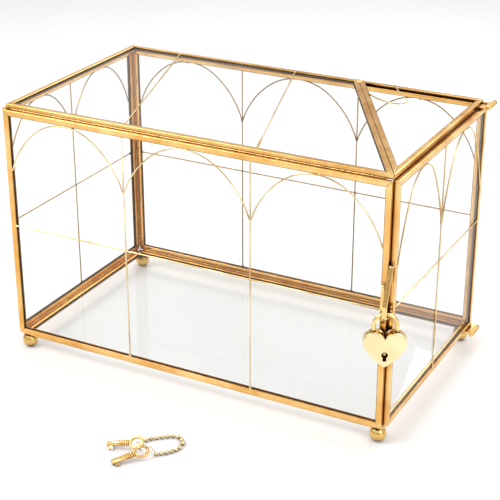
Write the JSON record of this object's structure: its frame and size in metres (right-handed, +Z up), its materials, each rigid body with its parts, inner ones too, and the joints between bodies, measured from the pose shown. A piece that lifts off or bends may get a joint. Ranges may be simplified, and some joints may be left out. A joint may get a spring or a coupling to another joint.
{
  "type": "wedding card box",
  "caption": "Clear glass card box in a gold frame, with a triangular slot on top, a locked side door and a heart padlock.",
  "frame": {"origin": "centre of the box's footprint, at the level of the surface it stands on", "axes": "+X towards the door, +Y towards the back, +Z up"},
  "size_m": [0.3256, 0.2881, 0.2011],
  "materials": {
    "clear_glass": "polished",
    "brass_came": "polished",
    "brass_wire": "bright",
    "gilt_solder": "gilt, uneven",
    "brass_fitting": "bright",
    "polished_ball": "mirror polished",
    "padlock_gold": "polished pale gold",
    "shackle_brass": "polished",
    "key_brass": "polished",
    "chain_brass": "bright"
  },
  "bodies": {
    "case": {"ball_feet": "polished_ball", "came_back_bottom": "brass_came", "came_back_left": "brass_came", "came_back_right": "brass_came", "came_back_top": "brass_came", "came_base_back": "brass_came", "came_base_front": "brass_came", "came_base_left": "brass_came", "came_base_right": "brass_came", "came_front_bottom": "brass_came", "came_front_left": "brass_came", "came_front_right": "brass_came", "came_front_top": "brass_came", "came_left_bottom": "brass_came", "came_left_left": "brass_came", "came_left_right": "brass_came", "came_left_top": "brass_came", "came_slot_back": "brass_came", "came_slot_diagonal": "brass_came", "came_slot_right": "brass_came", "came_top_back": "brass_came", "came_top_diagonal": "brass_came", "came_top_front": "brass_came", "came_top_left": "brass_came", "case_staple": "brass_fitting", "glass_back": "clear_glass", "glass_base": "clear_glass", "glass_front": "clear_glass", "glass_left": "clear_glass", "glass_top": "clear_glass", "hinge_plate_bottom": "brass_fitting", "hinge_plate_top": "brass_fitting", "slot_loop": "brass_wire", "solder_seams": "gilt_solder", "wires_back": "brass_wire", "wires_front": "brass_wire", "wires_left": "brass_wire", "wires_top": "brass_wire"},
    "door": {"came_door_bottom": "brass_came", "came_door_hinge_stile": "brass_came", "came_door_lock_stile": "brass_came", "came_door_top": "brass_came", "door_staple": "brass_fitting", "glass_door": "clear_glass", "hinge_pin_bottom": "brass_fitting", "hinge_pin_top": "brass_fitting", "wires_door": "brass_wire"},
    "shackle": {"padlock_shackle": "shackle_brass"},
    "lock_body": {"padlock_core": "padlock_gold", "padlock_key_post": "shackle_brass", "padlock_front": "padlock_gold", "padlock_back": "padlock_gold"},
    "keys": {"key_1": "key_brass", "key_2": "key_brass", "bead_chain": "chain_brass", "chain_clasp": "chain_brass"}
  },
  "joints": [
    {"name": "door_hinge", "type": "hinge", "parent": "case", "child": "door", "pos_m": [0.1542, 0.08395, 0.1], "axis": [0, 0, 1], "range_deg": [0, 110]},
    {"name": "padlock_swing", "type": "hinge", "parent": "door", "child": "shackle", "pos_m": [0.1542, -0.0941, 0.1045], "axis": [-0.9063, -0.4226, 0], "range_deg": [0, 40]},
    {"name": "shackle_release", "type": "slide", "parent": "shackle", "child": "lock_body", "axis": [0, 0, -1], "range_m": [0, 0.008]},
    {"name": "keys_lift", "type": "slide", "parent": "case", "child": "keys", "axis": [0, 0, 1], "range_m": [0, 0.06]}
  ]
}
